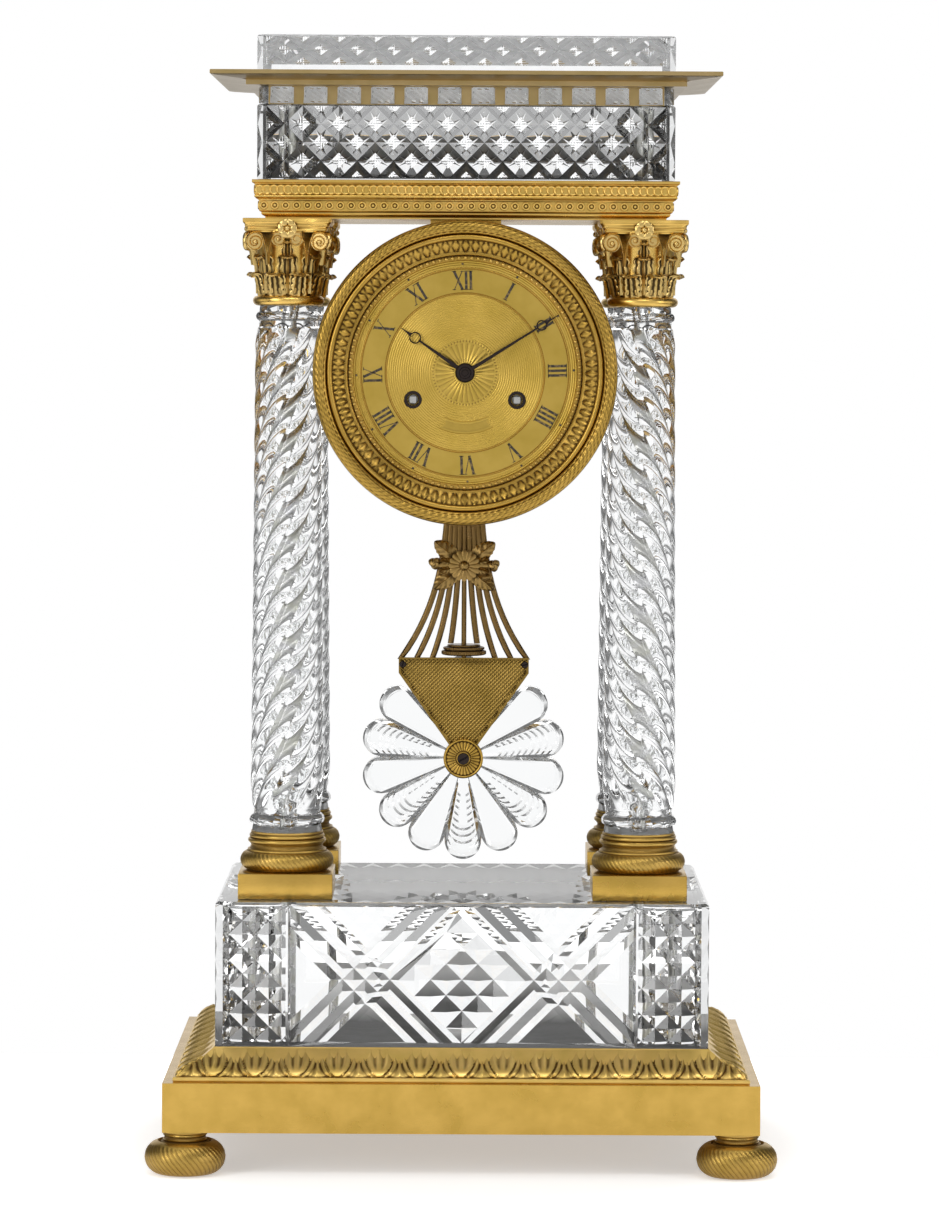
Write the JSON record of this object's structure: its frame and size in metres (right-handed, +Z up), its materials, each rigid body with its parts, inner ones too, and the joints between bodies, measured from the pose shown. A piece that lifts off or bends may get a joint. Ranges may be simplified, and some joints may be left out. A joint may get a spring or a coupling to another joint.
{
  "type": "portico clock",
  "caption": "Mantel clock as a portico: cut-crystal base, columns and entablature in gilt bronze mounts, with a round dial and a fan-rod pendulum with a crystal bob.",
  "frame": {"origin": "centre of the footprint, on the surface that the four feet stand on", "axes": "+Z up, -Y towards the dial's viewer, +X to the viewer's right"},
  "size_m": [0.319, 0.249, 0.573],
  "materials": {
    "gilt_bronze": "mercury gilding, part matt and part burnished",
    "dial_gilt": "engine-turned, matt gilt",
    "crystal": "cut and polished",
    "steel": "polished",
    "blued_steel": "heat-blued, polished",
    "brass": "brushed",
    "bell_metal": "turned, bright"
  },
  "bodies": {
    "case": {"foot_front_left": "gilt_bronze", "foot_front_right": "gilt_bronze", "foot_back_left": "gilt_bronze", "foot_back_right": "gilt_bronze", "base_nuts": "steel", "plinth": "gilt_bronze", "leaf_moulding": "gilt_bronze", "crystal_base": "crystal", "column_bases": "gilt_bronze", "shaft_front_left": "crystal", "shaft_front_right": "crystal", "shaft_back_left": "crystal", "shaft_back_right": "crystal", "capital_front_left": "gilt_bronze", "capital_front_right": "gilt_bronze", "capital_back_left": "gilt_bronze", "capital_back_right": "gilt_bronze", "tie_rods": "steel", "architrave": "gilt_bronze", "crystal_frieze": "crystal", "crystal_dentils": "crystal", "cornice": "gilt_bronze", "crystal_attic": "crystal", "drum_case": "gilt_bronze", "drum_hanger": "gilt_bronze", "front_bezel": "gilt_bronze", "case_screws": "steel", "dial": "dial_gilt", "rear_bezel": "gilt_bronze", "front_plate": "brass", "back_plate": "brass", "plate_pillars": "brass", "movement_straps": "steel", "bell": "bell_metal", "bell_stand": "steel", "suspension_cock": "brass"},
    "minute_works": {"minute_hand": "blued_steel", "cannon_pinion": "steel", "centre_wheel": "brass"},
    "hour_works": {"hour_hand": "blued_steel", "hour_wheel": "brass"},
    "motion_wheel": {"minute_wheel": "brass"},
    "mid_wheel": {"intermediate_wheel": "brass"},
    "going_spring": {"going_barrel": "brass"},
    "third_arbor": {"third_wheel": "brass"},
    "escape_arbor": {"escape_wheel": "brass"},
    "strike_spring": {"strike_barrel": "brass"},
    "strike_pins": {"pin_wheel": "brass"},
    "strike_fly": {"fly": "brass"},
    "going_winding": {"going_winding_arbor": "steel"},
    "strike_winding": {"strike_winding_arbor": "steel"},
    "strike_hammer": {"hammer": "steel"},
    "pendulum": {"pendulum_rods": "gilt_bronze", "floral_mount": "gilt_bronze", "bob_plate": "gilt_bronze", "bob_crystal": "crystal", "bob_screws": "blued_steel"},
    "nut": {"rating_nut": "gilt_bronze"},
    "anchor_crutch": {"anchor": "steel"},
    "door": {"back_door": "gilt_bronze"}
  },
  "joints": [
    {"name": "minute_spin", "type": "hinge", "parent": "case", "child": "minute_works", "pos_m": [0, -0.07173, 0.403], "axis": [0, 1, 0], "continuous": true},
    {"name": "hour_spin", "type": "hinge", "parent": "case", "child": "hour_works", "pos_m": [0, -0.07173, 0.403], "axis": [0, 1, 0], "continuous": true},
    {"name": "motion_spin", "type": "hinge", "parent": "case", "child": "motion_wheel", "pos_m": [0, -0.07173, 0.391], "axis": [0, 1, 0], "continuous": true},
    {"name": "mid_spin", "type": "hinge", "parent": "case", "child": "mid_wheel", "pos_m": [0.01712, -0.05743, 0.40725], "axis": [0, 1, 0], "continuous": true},
    {"name": "going_barrel_spin", "type": "hinge", "parent": "case", "child": "going_spring", "pos_m": [0.0263, -0.05743, 0.3893], "axis": [0, 1, 0], "continuous": true},
    {"name": "third_spin", "type": "hinge", "parent": "case", "child": "third_arbor", "pos_m": [-0.01009, -0.02843, 0.41613], "axis": [0, 1, 0], "continuous": true},
    {"name": "escape_spin", "type": "hinge", "parent": "case", "child": "escape_arbor", "pos_m": [0, -0.02443, 0.4255], "axis": [0, 1, 0], "continuous": true},
    {"name": "strike_barrel_spin", "type": "hinge", "parent": "case", "child": "strike_spring", "pos_m": [-0.0263, -0.05743, 0.3893], "axis": [0, 1, 0], "continuous": true},
    {"name": "pin_spin", "type": "hinge", "parent": "case", "child": "strike_pins", "pos_m": [-0.02806, -0.05743, 0.40938], "axis": [0, 1, 0], "continuous": true},
    {"name": "fly_spin", "type": "hinge", "parent": "case", "child": "strike_fly", "pos_m": [-0.02454, -0.05743, 0.42252], "axis": [0, 1, 0], "continuous": true},
    {"name": "going_winding_spin", "type": "hinge", "parent": "case", "child": "going_winding", "pos_m": [0.0263, -0.07173, 0.3893], "axis": [0, 1, 0], "range_deg": [0, 1620]},
    {"name": "strike_winding_spin", "type": "hinge", "parent": "case", "child": "strike_winding", "pos_m": [-0.0263, -0.07173, 0.3893], "axis": [0, 1, 0], "range_deg": [0, 1620]},
    {"name": "hammer_lift", "type": "hinge", "parent": "case", "child": "strike_hammer", "pos_m": [-0.03606, -0.01743, 0.42324], "axis": [0, 1, 0], "range_deg": [-2, 12], "stiffness_Nm_per_rad": 0.01},
    {"name": "pendulum_swing", "type": "hinge", "parent": "case", "child": "pendulum", "pos_m": [0, -0.01093, 0.439], "axis": [0, 1, 0], "range_deg": [-4, 4]},
    {"name": "anchor_rock", "type": "hinge", "parent": "case", "child": "anchor_crutch", "pos_m": [0, -0.02443, 0.439], "axis": [0, 1, 0], "range_deg": [-4, 4]},
    {"name": "nut_turn", "type": "hinge", "parent": "pendulum", "child": "nut", "pos_m": [0, -0.01093, 0.2558], "axis": [0, 0, 1], "continuous": true},
    {"name": "door_swing", "type": "hinge", "parent": "case", "child": "door", "pos_m": [0.063, 0.04937, 0.403], "axis": [0, 0, -1], "range_deg": [0, 95]}
  ],
  "couplings": [
    {"joint": "hour_spin", "follows": "minute_spin", "ratio": 0.083333},
    {"joint": "motion_spin", "follows": "minute_spin", "ratio": -0.33333},
    {"joint": "mid_spin", "follows": "minute_spin", "ratio": -0.16667},
    {"joint": "going_barrel_spin", "follows": "minute_spin", "ratio": 0.02381},
    {"joint": "third_spin", "follows": "minute_spin", "ratio": -10.5},
    {"joint": "escape_spin", "follows": "minute_spin", "ratio": 123.38},
    {"joint": "pin_spin", "follows": "strike_barrel_spin", "ratio": -7},
    {"joint": "fly_spin", "follows": "strike_barrel_spin", "ratio": 63},
    {"joint": "anchor_rock", "follows": "pendulum_swing", "ratio": 1}
  ]
}
